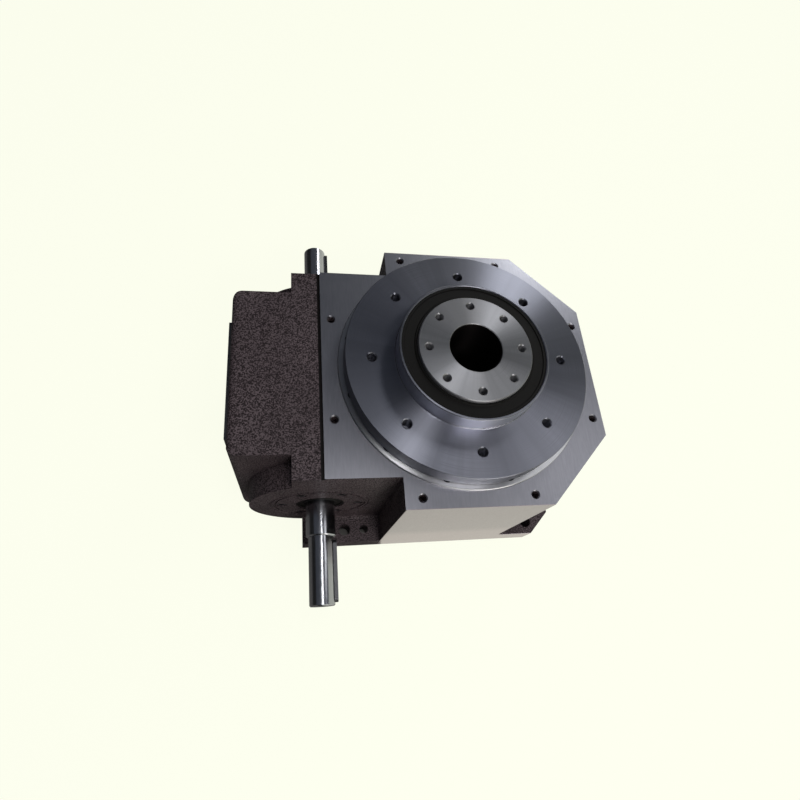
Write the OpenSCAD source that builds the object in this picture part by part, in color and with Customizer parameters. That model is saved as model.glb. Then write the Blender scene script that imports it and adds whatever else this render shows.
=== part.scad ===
// Cam indexer with a flange table.
// A keyed input shaft turns a globoidal cam. The cam's rib drives eight rollers on a turret,
// and the turret carries the table, which runs round a fixed hollow post.
// Millimetres, +Z up. Origin: output axis at the mounting face. The input shaft lies along Y.

/* [Axes and heights] */
// Distance between the input axis and the output axis
centre_distance = 140; // [136:0.5:146]
// Height of the machined top face above the mounting face
top_z = 183; // [181:1:195]
// Height of the input axis above the mounting face
shaft_z = 90; // [88:1:93]

/* [Housing] */
// Half width of the octagonal tower, front to back
tower_half_y = 140; // [136:1:150]
// Distance from the output axis to the right face of the tower
tower_right = 140; // [136:1:150]
// Distance from the output axis to the left shoulder of the tower
tower_left = 70; // [60:1:80]
// Size of the two right-hand corner chamfers of the tower
tower_chamfer = 68; // [55:1:75]
// Half width of the neck over the input shaft
neck_half_y = 110; // [106:1:118]
// How far the neck reaches left of the input axis
neck_out = 28.6; // [20:0.2:35]
// Drop from the machined face to the painted face
paint_step = 3; // [1:0.5:4]
// Half width of the cam block, front to back
block_half_y = 86; // [83:1:92]
// How far the cam block reaches left of the input axis
block_out = 85.5; // [84:0.5:95]
// Radius of the block's vertical corners
block_corner_r = 10; // [4:0.5:14]
// Radius of the block's long top edge
block_edge_r = 6; // [2:0.5:8]
// Clearance under the block
block_lift = 6; // [2:1:10]
// Radius of the two shaft bosses
boss_r = 71; // [66:0.5:74]
// Left wall of the cam chamber
block_wall = 12; // [8:0.5:14]
// End walls of the cam chamber, behind the bosses
end_wall = 10; // [7:0.5:12]
// Room round the cam in its chamber
cam_room = 4.5; // [3:0.5:6]
// Floor of the turret chamber
floor_t = 22; // [18:1:26]

/* [Foot] */
// Thickness of the foot
foot_t = 27; // [22:1:32]
// Left end of the foot, from the output axis
foot_left = 157; // [145:1:165]
// Size of the foot's right-hand corner chamfers
foot_chamfer = 25; // [15:1:30]
// Cast fillet where the walls rise from the foot
foot_fillet = 4; // [2:0.5:5]
// Spacing of the mounting holes, left to right
foot_hole_x = 220; // [210:1:226]
// Distance of the mounting holes from the foot's front and back edges
foot_hole_inset = 14; // [12:0.5:15]
// Diameter of the mounting holes
foot_hole_d = 13; // [9:0.5:14]
// Distance of the dowel holes from the output axis
dowel_x = 88; // [84:0.5:92]
// Diameter of the dowel holes
dowel_d = 10; // [6:0.5:10]

/* [Output table] */
// How far the table's rim lies inside the retaining ring's
table_inset = 5; // [3:0.5:8]
// Height of the table's top above the machined face
table_rise = 22; // [18:0.5:26]
// Running gap under the table
table_gap = 1; // [0.6:0.1:2]
// Wall of the raised collar round the post seal
collar_wall = 2.5; // [2:0.25:5]
// Height of the collar above the table
collar_h = 19; // [17:0.5:22]
// Fillet where the collar meets the table
collar_fillet = 1.5; // [0.5:0.5:2.5]
// Distance from the collar to the table's bolt circle
table_bolt_out = 22.5; // [18:0.5:26]
// Depth of the table's tapped holes
table_hole_depth = 15; // [10:1:16]
// Step from the main bearing's bore to the table's seal land
seal_land_step = 5; // [4:0.5:6]

/* [Centre post] */
// Diameter of the post
post_d = 110; // [108:0.5:110]
// How far the post stands above the collar
post_rise = 2.5; // [1:0.5:5]
// Bore through the post
post_bore_d = 50; // [40:1:56]
// Bolt circle of the post
post_pcd = 90; // [84:1:94]
// Depth of the post's tapped holes
post_hole_depth = 16; // [10:1:20]
// How far the bottom flange reaches past the post's shoulder
flange_out = 22; // [20:0.5:26]
// Thickness of the bottom flange
post_flange_t = 12; // [10:0.5:13]
// Distance from the post's shoulder to the flange's bolt circle
flange_bolt_out = 12; // [11:0.5:14]

/* [Input shaft] */
// Diameter of the keyed shaft ends
shaft_end_d = 25; // [22:0.5:28]
// Diameter of the shaft at its bearings and seals
shaft_d = 30; // [30:0.5:31]
// Diameter of the cam seat
cam_seat_d = 40; // [36:0.5:42]
// Diameter of the shoulder beside the cam
shoulder_d = 50; // [46:0.5:56]
// Width of the shoulder beside the cam
shoulder_w = 12; // [8:0.5:16]
// Distance from the middle of the shaft to each end
shaft_half = 210; // [200:1:220]
// Length of each keyed end
shaft_end_len = 66; // [60:1:72]
// Chamfer on the shaft's ends
shaft_chamfer = 1; // [0.5:0.25:2]
// Width of the end keys
key_w = 8; // [6:0.5:8]
// Height of the end keys
key_h = 7; // [6:0.5:8]
// Length of the end keys
key_len = 60; // [40:1:61]
// Distance from the key to the end of the shaft
key_end = 3; // [2:0.5:4]
// Depth of the key seat in the shaft
key_seat = 4; // [3:0.25:4.5]

/* [Cam and followers] */
// Number of stations, and of followers
stations = 8; // [8:1:8]
// Diameter of a follower roller
roller_d = 30; // [26:0.5:31]
// Width of a follower roller
roller_w = 17; // [14:0.5:17.5]
// Radius at which the rollers' inner ends run
roller_in_r = 80; // [79:0.5:81]
// Diameter of a follower's pin
pin_d = 14; // [10:0.5:16]
// Side play between a roller and the rib
rib_play = 0.4; // [0.35:0.05:0.8]
// Play at each end of a roller
roller_end_play = 0.3; // [0.2:0.05:0.5]
// Half length of the cam
cam_half = 38; // [34:0.5:38.5]
// Gap between a follower's head and the cam's root
root_gap = 1.7; // [1:0.1:2.5]
// Gap between the rib's crest and the turret
crest_gap = 1; // [0.6:0.1:1.5]
// Width of the cam's key
cam_key_w = 12; // [8:0.5:12]
// Height of the cam's key
cam_key_h = 8; // [6:0.5:9]
// Length of the cam's key
cam_key_len = 56; // [40:1:60]
// Diameter of the cam's locknut
nut_d = 58; // [52:1:62]
// Thickness of the locknut
nut_t = 10; // [8:0.5:12]

/* [Main bearing, crossed roller] */
// Wall of the table between the post seal and the main bearing
main_bore_wall = 5; // [5:0.5:6]
// Radial section of the main bearing
main_section = 30; // [28:0.5:31]
// Width of the main bearing
main_bearing_w = 25; // [22:0.5:26]
// Diameter of its rollers
main_roller_d = 11; // [9:0.5:12]
// Number of its rollers
main_rollers = 36; // [24:2:40]

/* [Lower bearing, ball] */
// Radial section of the lower bearing
low_section = 20; // [19:0.5:21]
// Width of the lower bearing
low_bearing_w = 20; // [18:0.5:22]
// Diameter of its balls
ball_d = 11; // [9:0.5:12]
// Number of its balls
balls = 18; // [14:1:20]

/* [Input bearings, taper roller] */
// Outside diameter of the input bearings
in_bearing_d = 62; // [61:0.5:64]
// Width of the outer ring
in_cup_w = 17; // [15:0.5:18]
// Width of the inner ring
in_cone_w = 20; // [18:0.5:20]
// Number of rollers
in_rollers = 15; // [12:1:16]

/* [Caps and covers] */
// Diameter of the bearing caps
cap_d = 100; // [98:1:104]
// Depth of the cap's seat in the boss
cap_seat = 12; // [11:0.5:14]
// Thickness of the shim under a cap
shim_t = 0.5; // [0.3:0.1:1]
// Bolt circle of the cap
cap_pcd = 78; // [76:1:82]
// Outside diameter of the shaft seals
shaft_seal_d = 50; // [47:1:52]
// Width of the shaft seals
shaft_seal_w = 8; // [6:0.5:8]
// Width of the side cover
cover_w = 125; // [118:1:135]
// Height of the side cover
cover_h = 126; // [118:1:130]
// Thickness of the side cover
cover_t = 4; // [3:0.5:6]
// Thickness of the cover's gasket
gasket_t = 0.5; // [0.5:0.25:1.5]
// Overlap of the cover on the block round its window
cover_lap = 12; // [10:0.5:14]
// How far the retaining ring reaches past the main bearing
retainer_lap = 20; // [18:0.5:23]
// Height of the retaining ring above the machined face
retainer_rise = 3; // [2.8:0.2:4]
// Depth of the retaining ring's spigot
retainer_spigot = 8; // [7.5:0.5:9]
// Radial section of the table's lower seal
low_seal_section = 15; // [14:0.5:16]
// Width of the table's lower seal
low_seal_w = 8; // [7:0.5:8]
// Radial section of the post seal
post_seal_section = 15; // [14:0.5:15]
// Width of the post seal
post_seal_w = 12; // [10:0.5:13]
// How far the post seal sits below the collar's top
post_seal_drop = 1; // [0.5:0.25:2]
// Depth of the table's screw ledge below the table's top
ledge_drop = 7; // [5:0.5:8]

/* [Fasteners] */
// Bolt circle of the tapped holes in the housing's top face
plate_pcd = 281; // [278:1:284]
// Depth of the tapped holes in the top face
plate_hole_depth = 14; // [10:1:16]
// Diameter of the screws that hold the turret to the table
turret_screw_d = 6; // [5:0.5:6]
// Distance from the turret's bore to its screws' centres
turret_screw_inset = 6.5; // [6:0.25:7]
// Diameter of the cap screws and of the post's flange screws
cap_screw_d = 6; // [5:0.5:6]
// Diameter of the countersunk cover screws
cover_screw_d = 5; // [4:0.5:5]
// Number of retaining ring screws
retainer_screws = 12; // [8:1:16]
// Length of the screws of the side cover and the retaining ring
flat_screw_len = 12; // [10:0.5:14]
// Thread that the flange screws grip in the floor
flange_grip = 7; // [6:0.5:8]
// Diameter of the oil ports
port_d = 16; // [12:1:18]
// Depth of the oil ports' threads
port_depth = 14; // [12:0.5:18]
// Distance of the filler and the drain from the middle
port_y = 40; // [30:1:50]
// Height of the filler above the input axis
filler_rise = 38; // [30:1:40]
// Height of the drain above the foot
drain_rise = 13; // [12:0.5:20]

/* [Fits] */
// Radial clearance of pieces that slide or turn on each other
run_fit = 0.05; // [0.03:0.01:0.08]
// Radial clearance of pieces that are located in each other
seat_fit = 0.05; // [0.02:0.01:0.1]
// Clearance round screws in their holes
screw_fit = 0.3; // [0.2:0.05:0.5]
// Clearance round screws in tapped holes
thread_fit = 0.1; // [0.05:0.05:0.2]
// Clearance between rolling pieces and their rings
roll_gap = 0.3; // [0.25:0.05:0.4]

/* [Hidden] */
eps = 0.01;
$fn = 96;

// Stack of radii, from the post outwards
post_shoulder_r = post_d / 2 + 5;
turret_bore_r = post_d / 2 + 2;
turret_screw_pcd = 2 * (turret_bore_r + turret_screw_inset);
post_seal_d = post_d + 2 * post_seal_section;
collar_d = post_seal_d + 2 * collar_wall;
table_pcd = collar_d + 2 * table_bolt_out;
main_bearing_bore = post_seal_d + 2 * main_bore_wall;
main_bearing_d = main_bearing_bore + 2 * main_section;
main_pitch_r = (main_bearing_bore + main_bearing_d) / 4;
seal_land_d = main_bearing_bore + 2 * seal_land_step;
low_seal_d = seal_land_d + 2 * low_seal_section;
retainer_d = main_bearing_d + 2 * retainer_lap;
retainer_screw_r = (retainer_d + main_bearing_d) / 4 + 1;
table_d = retainer_d - 2 * table_inset;
low_bearing_d = post_d + 2 * low_section;
low_pitch_r = (post_d + low_bearing_d) / 4;
flange_pcd = 2 * (post_shoulder_r + flange_bolt_out);
post_flange_d = 2 * (post_shoulder_r + flange_out);
o_ring_r = 1.3;
o_ring_pitch_r = post_shoulder_r + 3;
race_half = (main_roller_d / 2 + roll_gap) * sqrt(2);
race_slot = 1;

// Stacks of heights
table_bottom_z = top_z + retainer_rise + table_gap;
table_z = top_z + table_rise;
collar_z = table_z + collar_h;
post_z = collar_z + post_rise;
main_top_z = top_z - retainer_spigot;
main_bottom_z = main_top_z - main_bearing_w;
main_mid_z = (main_top_z + main_bottom_z) / 2;
ledge_z = table_z - ledge_drop;
post_shoulder_rise = 8;
low_bottom_z = floor_t + post_shoulder_rise;
low_top_z = low_bottom_z + low_bearing_w;
low_mid_z = (low_bottom_z + low_top_z) / 2;
low_seal_z = top_z + retainer_rise - low_seal_w - 0.5;
cover_mid_z = shaft_z + 5;
filler_z = shaft_z + filler_rise;
level_z = shaft_z;
drain_z = foot_t + drain_rise;
painted_z = top_z - paint_step;

// Places across the part
input_x = -centre_distance;
neck_left = input_x - neck_out;
block_left = input_x - block_out;
foot_hole_y = 2 * (tower_half_y - foot_hole_inset);

// Tapped holes: core diameter, mouth chamfer and depth
m10_core = 8.5;
m8_core = 6.8;
mouth = 1;
end_hole_depth = 16;
cap_hole_depth = 12;
cover_hole_depth = 9;

// Follower and turret
pitch_deg = 360 / stations;
roller_out_r = roller_in_r + roller_w;
head_t = 1.5;
pin_head_r = roller_d / 2 - 3;
pin_tip_r = roller_out_r + roller_end_play + head_t;
pin_collar_r = pin_d / 2 + 2.5;
turret_r = roller_in_r - 1.5;
turret_flange_r = turret_r + 5.5;
turret_flange_t = 14;
turret_taper = 8;
pin_root_r = turret_bore_r + 1.5;
grub_d = 6;
grub_len = 16;
grub_pitch_r = (turret_bore_r + turret_r) / 2;

// Cam
rib_tip_r = turret_r + crest_gap;
cam_root_r = pin_tip_r + root_gap;
cam_max_r = centre_distance - sqrt(pow(rib_tip_r, 2) - pow(cam_half, 2));
rib_sink = 1.6;
rib_half_turn = 252;
rib_step = 9;
cam_key_seat = 5;
cam_key_play = 0.2;

// Input bearings: one rolling gap, two cones
cap_face_y = neck_half_y;
cup_out_y = cap_face_y - cap_seat;
cup_in_y = cup_out_y - in_cup_w;
cone_out_y = cup_out_y - 1.25;
cone_in_y = cone_out_y - in_cone_w;
roller_slope = 14.3;
in_roller_len = 13;
in_mid_y = (cone_in_y + cone_out_y) / 2;
in_mid_r = (shaft_d + in_bearing_d) / 4 + 1.2;
in_roller_big_r = 3.75;
in_roller_small_r = 3.4;
in_roller_mid_r = (in_roller_big_r + in_roller_small_r) / 2;
cone_slope = 12.9;
cup_slope = 15.7;

// Screw heads
function head_r(d) = d * 0.83;
function csk_r(d) = d * 0.95;
head_seat = 0.4;

// ---------------------------------------------------------------- helpers

// Places children on the input axis, local +Z outwards at the front (-1) or the rear (+1)
module on_shaft(side) {
    translate([input_x, 0, shaft_z])
        rotate([side > 0 ? -90 : 90, 0, 0])
            children();
}

// Places children on a circle about Z
module ring_of(n, r, start = 0) {
    for (i = [0 : n - 1])
        rotate([0, 0, start + i * 360 / n])
            translate([r, 0, 0])
                children();
}

// A ring between two radii and two heights
module ring(r_in, r_out, z0, z1) {
    translate([0, 0, z0])
        difference() {
            cylinder(r = r_out, h = z1 - z0);
            translate([0, 0, -1])
                cylinder(r = r_in, h = z1 - z0 + 2);
        }
}

// A blind tapped hole going down from z = 0, with a chamfered mouth
module tapped_hole(core_d, depth) {
    translate([0, 0, -depth])
        cylinder(d = core_d, h = depth + 1, $fn = 32);
    translate([0, 0, -mouth])
        cylinder(r1 = core_d / 2, r2 = core_d / 2 + 2 * mouth, h = 2 * mouth, $fn = 32);
}

// A socket head screw, underside of the head at z = 0, shank downwards
module socket_screw(d, len) {
    head_h = d;
    difference() {
        union() {
            translate([0, 0, -len])
                cylinder(d = d, h = len + head_h / 2, $fn = 24);
            cylinder(r = head_r(d), h = head_h - 0.5, $fn = 32);
            translate([0, 0, head_h - 0.5])
                cylinder(r1 = head_r(d), r2 = head_r(d) - 0.5, h = 0.5, $fn = 32);
        }
        translate([0, 0, head_h / 2])
            cylinder(d = d * 0.95, h = head_h, $fn = 6);
    }
}

// A countersunk screw, top of the head at z = 0, shank downwards
module flat_screw(d, len) {
    head_h = csk_r(d) - d / 2;
    difference() {
        union() {
            translate([0, 0, -head_h])
                cylinder(r1 = d / 2, r2 = csk_r(d), h = head_h, $fn = 32);
            translate([0, 0, -len])
                cylinder(d = d, h = len - head_h + eps, $fn = 24);
        }
        translate([0, 0, -head_h * 0.8])
            cylinder(d = d * 0.62, h = head_h, $fn = 6);
    }
}

// The seat cut by a countersunk screw that sits head_seat below z = 0
module flat_screw_seat(d, len) {
    head_h = csk_r(d) - d / 2;
    translate([0, 0, -head_seat - head_h])
        cylinder(r1 = d / 2 + screw_fit, r2 = csk_r(d) + screw_fit, h = head_h, $fn = 32);
    translate([0, 0, -head_seat - eps])
        cylinder(r = csk_r(d) + screw_fit, h = head_seat + 1, $fn = 32);
    translate([0, 0, -len])
        cylinder(r = d / 2 + screw_fit, h = len, $fn = 24);
}

// ---------------------------------------------------------------- housing

module tower_outline() {
    polygon([
        [-tower_left, -tower_half_y],
        [tower_right - tower_chamfer, -tower_half_y],
        [tower_right, -tower_half_y + tower_chamfer],
        [tower_right, tower_half_y - tower_chamfer],
        [tower_right - tower_chamfer, tower_half_y],
        [-tower_left, tower_half_y]
    ]);
}

module foot_outline() {
    polygon([
        [-foot_left, -tower_half_y],
        [tower_right - foot_chamfer, -tower_half_y],
        [tower_right, -tower_half_y + foot_chamfer],
        [tower_right, tower_half_y - foot_chamfer],
        [tower_right - foot_chamfer, tower_half_y],
        [-foot_left, tower_half_y]
    ]);
}

// A square corner at the origin's left side, rounded to radius r
module rounded_left(x0, x1, y0, y1, r) {
    translate([x0 + r, y0])
        square([x1 - x0 - r, y1 - y0]);
    translate([x0, y0 + r])
        square([r + eps, y1 - y0 - 2 * r]);
    for (y = [y0 + r, y1 - r])
        translate([x0 + r, y])
            circle(r = r, $fn = 64);
}

module block() {
    intersection() {
        translate([0, 0, block_lift])
            linear_extrude(painted_z - block_lift)
                rounded_left(block_left, -tower_left, -block_half_y, block_half_y, block_corner_r);
        rotate([90, 0, 0])
            translate([0, 0, -block_half_y - 1])
                linear_extrude(2 * block_half_y + 2)
                    union() {
                        translate([block_left, 0])
                            square([block_out + centre_distance, painted_z - block_edge_r]);
                        translate([block_left + block_edge_r, 0])
                            square([block_out + centre_distance, painted_z]);
                        translate([block_left + block_edge_r, painted_z - block_edge_r])
                            circle(r = block_edge_r, $fn = 64);
                    }
    }
}

// A hollow fillet along X that leaves a floor and a wall at distance r from their corner,
// and that runs on past both ends of its length
module fillet_strip(len, r) {
    centre = 1.3 * r;
    translate([-r, 0, 0])
        rotate([90, 0, 90])
            linear_extrude(len + 2 * r)
                difference() {
                    translate([-1, -1])
                        square(r + 2);
                    translate([centre, centre])
                        circle(r = norm([centre, centre - r]), $fn = 64);
                }
}

// Along the neck, the tower's left shoulder and its right-hand corner, front and back
module foot_fillets() {
    intersection() {
        linear_extrude(top_z)
            foot_outline();
        for (side = [0, 1])
            mirror([0, side, 0]) {
                translate([-foot_left, neck_half_y, foot_t])
                    fillet_strip(foot_left - tower_left, foot_fillet);
                translate([-tower_left, neck_half_y, foot_t])
                    rotate([0, 0, 90])
                        fillet_strip(tower_half_y - neck_half_y, foot_fillet);
                translate([tower_right - tower_chamfer, tower_half_y, foot_t])
                    rotate([0, 0, -45])
                        fillet_strip(tower_chamfer * sqrt(2), foot_fillet);
            }
    }
}

module casting() {
    linear_extrude(foot_t)
        foot_outline();
    foot_fillets();
    linear_extrude(top_z)
        tower_outline();
    // Neck over the input shaft, its machined end and its painted end
    translate([input_x, -neck_half_y, foot_t - 1])
        cube([centre_distance - tower_left + 1, 2 * neck_half_y, top_z - foot_t + 1]);
    translate([neck_left, -neck_half_y, shaft_z])
        cube([neck_out + 1, 2 * neck_half_y, painted_z - shaft_z]);
    block();
    translate([input_x, neck_half_y, shaft_z])
        rotate([90, 0, 0])
            cylinder(r = boss_r, h = 2 * neck_half_y);
}

// Chamber for the turret, with a ledge under the main bearing
module turret_chamber() {
    chamber_r = roller_out_r + 15;
    ledge_t = 8;
    translate([0, 0, floor_t])
        cylinder(r = chamber_r, h = main_bottom_z - ledge_t - floor_t);
    translate([0, 0, floor_t])
        cylinder(r = pin_tip_r + 1.2, h = top_z);
    translate([0, 0, main_bottom_z])
        cylinder(d = main_bearing_d, h = top_z);
}

module cam_chamber() {
    half_y = block_half_y - end_wall;
    low_z = shaft_z - cam_max_r - cam_room;
    high_z = shaft_z + cam_max_r + cam_room;
    left_x = block_left + block_wall;
    seat_wall = 13;
    seat_floor = 12;
    mouth_right = tower_left - 10;
    translate([left_x, -half_y, low_z])
        cube([-mouth_right - left_x, 2 * half_y, main_bottom_z - seat_floor - low_z]);
    translate([left_x, -half_y, low_z])
        cube([-main_bearing_d / 2 - seat_wall - left_x, 2 * half_y, high_z - low_z]);
    translate([input_x, cam_half + cam_room, shaft_z])
        rotate([90, 0, 0])
            cylinder(r = cam_max_r + cam_room - 0.5, h = 2 * (cam_half + cam_room));
}

// Bearing bore, cap seat and cap screw holes of one boss
module boss_bores() {
    cylinder(r = in_bearing_d / 2, h = neck_half_y);
    translate([0, 0, cup_out_y])
        cylinder(r = cap_d / 2 + seat_fit, h = cap_seat + 1);
    translate([0, 0, cap_face_y - mouth])
        cylinder(r1 = cap_d / 2 + seat_fit, r2 = cap_d / 2 + 2 * mouth, h = 2 * mouth);
    translate([0, 0, cup_out_y])
        ring_of(6, cap_pcd / 2)
            translate([0, 0, -cap_hole_depth])
                cylinder(d = cap_screw_d + 2 * thread_fit, h = cap_hole_depth + 1, $fn = 24);
}

// Places children at the side cover's screws, +Z outwards
module at_cover_screws() {
    reach_y = cover_w / 2 - cover_lap / 2;
    reach_z = cover_h / 2 - cover_lap / 2;
    for (p = [[-1, -1], [-1, 0], [-1, 1], [0, -1], [0, 1], [1, -1], [1, 0], [1, 1]])
        translate([block_left, p[0] * reach_y, cover_mid_z + p[1] * reach_z])
            rotate([0, -90, 0])
                children();
}

// A plate of thickness t on the block's left face, in by a margin on every edge
module cover_plate(x, t, margin) {
    translate([x, -cover_w / 2 + margin, cover_mid_z - cover_h / 2 + margin])
        cube([t, cover_w - 2 * margin, cover_h - 2 * margin]);
}

module side_window() {
    cover_plate(block_left - 1, block_wall + 2, cover_lap);
    at_cover_screws()
        translate([0, 0, -cover_hole_depth])
            cylinder(d = cover_screw_d + 2 * thread_fit, h = cover_hole_depth + 1, $fn = 24);
}

// Recess and holes under the post
module post_seat() {
    translate([0, 0, -1])
        cylinder(r = post_flange_d / 2 + seat_fit, h = post_flange_t + 1);
    cylinder(r = post_shoulder_r + seat_fit, h = floor_t + 1);
    ring_of(8, flange_pcd / 2, 22.5)
        translate([0, 0, post_flange_t - 1])
            cylinder(d = cap_screw_d + 2 * thread_fit, h = flange_grip + 2, $fn = 24);
}

module foot_holes() {
    for (x = [-1, 1], y = [-1, 1])
        translate([x * foot_hole_x / 2, y * foot_hole_y / 2, -1])
            cylinder(d = foot_hole_d, h = foot_t + 2, $fn = 48);
    for (y = [-1, 1])
        translate([-dowel_x, y * foot_hole_y / 2, -1])
            cylinder(d = dowel_d, h = foot_t + 2, $fn = 48);
}

// Places children at an oil port on the tower's right face, +Z outwards
module at_port(y, z) {
    translate([tower_right, y, z])
        rotate([0, 90, 0])
            children();
}

module oil_port() {
    translate([0, 0, -port_depth])
        cylinder(d = port_d + 2 * thread_fit, h = port_depth + 1, $fn = 48);
    translate([0, 0, -tower_right + roller_out_r])
        cylinder(d = port_d / 2, h = tower_right - roller_out_r, $fn = 32);
}

module housing() {
    color([0.33, 0.30, 0.31])
        difference() {
            casting();
            turret_chamber();
            cam_chamber();
            for (side = [-1, 1])
                on_shaft(side)
                    boss_bores();
            side_window();
            post_seat();
            foot_holes();
            translate([0, 0, top_z])
                ring_of(8, plate_pcd / 2, 22.5)
                    tapped_hole(m8_core, plate_hole_depth);
            translate([0, 0, top_z - 11])
                ring_of(retainer_screws, retainer_screw_r, 15)
                    cylinder(d = cover_screw_d + 2 * thread_fit, h = 12, $fn = 24);
            at_port(-port_y, filler_z)
                oil_port();
            at_port(0, level_z)
                oil_port();
            at_port(port_y, drain_z)
                oil_port();
        }
}

module side_cover() {
    color([0.16, 0.16, 0.17])
        difference() {
            cover_plate(block_left - gasket_t - cover_t, cover_t, 0);
            at_cover_screws()
                translate([0, 0, gasket_t + cover_t])
                    flat_screw_seat(cover_screw_d, cover_t + 2);
        }
}

module side_cover_gasket() {
    color([0.25, 0.32, 0.28])
        difference() {
            cover_plate(block_left - gasket_t, gasket_t, 0);
            cover_plate(block_left - 2 * gasket_t, 4 * gasket_t, cover_lap);
            at_cover_screws()
                translate([0, 0, -1])
                    cylinder(r = cover_screw_d / 2 + screw_fit, h = gasket_t + 2, $fn = 24);
        }
}

module side_cover_screws() {
    color([0.2, 0.2, 0.21])
        at_cover_screws()
            translate([0, 0, gasket_t + cover_t - head_seat])
                flat_screw(cover_screw_d, flat_screw_len);
}

// ---------------------------------------------------------------- input shaft

module shaft_half_profile() {
    end_y = shaft_half;
    step_y = shaft_half - shaft_end_len;
    polygon([
        [0, 0],
        [cam_seat_d / 2, 0],
        [cam_seat_d / 2, cone_in_y],
        [shaft_d / 2, cone_in_y],
        [shaft_d / 2, step_y - shaft_chamfer],
        [shaft_d / 2 - shaft_chamfer, step_y],
        [shaft_end_d / 2, step_y],
        [shaft_end_d / 2, end_y - shaft_chamfer],
        [shaft_end_d / 2 - shaft_chamfer, end_y],
        [0, end_y]
    ]);
}

// The outline of a key with round ends, from y0 to y0 + len along local Z
module key_solid(w, h, len, grow = 0) {
    rotate([0, 90, 0])
        linear_extrude(h)
            union() {
                translate([-len + w / 2 - grow, -w / 2 - grow])
                    square([len - w + 2 * grow, w + 2 * grow]);
                for (x = [-w / 2, -len + w / 2])
                    translate([x, 0])
                        circle(r = w / 2 + grow, $fn = 32);
            }
}

module end_key(side) {
    color([0.45, 0.45, 0.46])
        on_shaft(side)
            translate([shaft_end_d / 2 - key_seat, 0, shaft_half - key_end - key_len])
                key_solid(key_w, key_h, key_len);
}

module input_shaft() {
    color([0.55, 0.56, 0.6])
        difference() {
            union() {
                for (side = [-1, 1])
                    on_shaft(side)
                        rotate_extrude()
                            shaft_half_profile();
                on_shaft(-1)
                    translate([0, 0, cam_half])
                        cylinder(d = shoulder_d, h = shoulder_w);
            }
            for (side = [-1, 1])
                on_shaft(side)
                    translate([shaft_end_d / 2 - key_seat, 0, shaft_half - key_end - key_len])
                        key_solid(key_w, key_h, key_len, seat_fit);
            on_shaft(1)
                translate([cam_seat_d / 2 - cam_key_seat, 0, -cam_key_len / 2])
                    key_solid(cam_key_w, cam_key_h, cam_key_len, seat_fit);
            for (side = [-1, 1])
                on_shaft(side)
                    translate([0, 0, shaft_half - end_hole_depth])
                        cylinder(d = m8_core, h = end_hole_depth + 1, $fn = 32);
        }
}

module cam_key() {
    color([0.45, 0.45, 0.46])
        on_shaft(1)
            translate([cam_seat_d / 2 - cam_key_seat, 0, -cam_key_len / 2])
                key_solid(cam_key_w, cam_key_h, cam_key_len);
}

module cam_locknut() {
    slots = 4;
    slot_w = 7;
    color([0.3, 0.3, 0.31])
        on_shaft(1)
            translate([0, 0, cam_half])
                difference() {
                    cylinder(d = nut_d, h = nut_t);
                    translate([0, 0, -1])
                        cylinder(r = cam_seat_d / 2 + thread_fit, h = nut_t + 2);
                    ring_of(slots, nut_d / 2)
                        translate([-3, -slot_w / 2, -1])
                            cube([6, slot_w, nut_t + 2]);
                }
}

// ---------------------------------------------------------------- globoidal cam

// Half width of the space that a roller sweeps, at distance u from the output axis
function sweep_half(u) =
    let (lead = atan((u / stations) / (centre_distance - u)))
    roller_d / 2 / cos(lead) + rib_play;

// A point on the rib's flank. side is -1 or +1, r its distance from the output axis
function flank_point(r, side, psi) =
    let (
        v = sweep_half(r),
        u = sqrt(r * r - v * v),
        axis_deg = psi + side * pitch_deg / 2,
        away = u * cos(axis_deg) + side * v * sin(axis_deg),
        along = u * sin(axis_deg) - side * v * cos(axis_deg)
    )
    [centre_distance - away, along];

// Points between the two flanks at one distance from the output axis
function rib_arc(r, psi, n) =
    let (
        a = flank_point(r, -1, psi),
        b = flank_point(r, 1, psi),
        a_deg = atan2(a[1], centre_distance - a[0]),
        b_deg = atan2(b[1], centre_distance - b[0])
    )
    [for (i = [1 : n - 1])
        let (t = a_deg + (b_deg - a_deg) * i / n)
        [centre_distance - r * cos(t), r * sin(t)]];

// One cross-section of the rib: [radius from the input axis, distance along it]
function rib_section(psi) =
    let (
        mid_r = (rib_tip_r + cam_root_r) / 2,
        deep_r = cam_root_r + rib_sink,
        bottom = rib_arc(deep_r, psi, 6)
    )
    concat(
        [flank_point(deep_r, -1, psi), flank_point(mid_r, -1, psi), flank_point(rib_tip_r, -1, psi)],
        rib_arc(rib_tip_r, psi, 4),
        [flank_point(rib_tip_r, 1, psi), flank_point(mid_r, 1, psi), flank_point(deep_r, 1, psi)],
        [for (i = [len(bottom) - 1 : -1 : 0]) bottom[i]]
    );

// The rib turns about the input axis as its centre swings past the output axis
module cam_rib() {
    turns = [for (a = [-rib_half_turn : rib_step : rib_half_turn]) a];
    sections = [for (a = turns) rib_section(a / stations)];
    n = len(sections[0]);
    m = len(sections);
    points = [
        for (j = [0 : m - 1])
            for (p = sections[j])
                [p[0] * cos(turns[j]), p[1], -p[0] * sin(turns[j])]
    ];
    faces = concat(
        [[for (i = [n - 1 : -1 : 0]) i]],
        [for (j = [0 : m - 2])
            for (i = [0 : n - 1])
                let (k = (i + 1) % n)
                each [
                    [j * n + i, (j + 1) * n + k, (j + 1) * n + i],
                    [j * n + i, j * n + k, (j + 1) * n + k]
                ]],
        [[for (i = [0 : n - 1]) (m - 1) * n + i]]
    );
    polyhedron(points, faces, convexity = 6);
}

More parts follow.
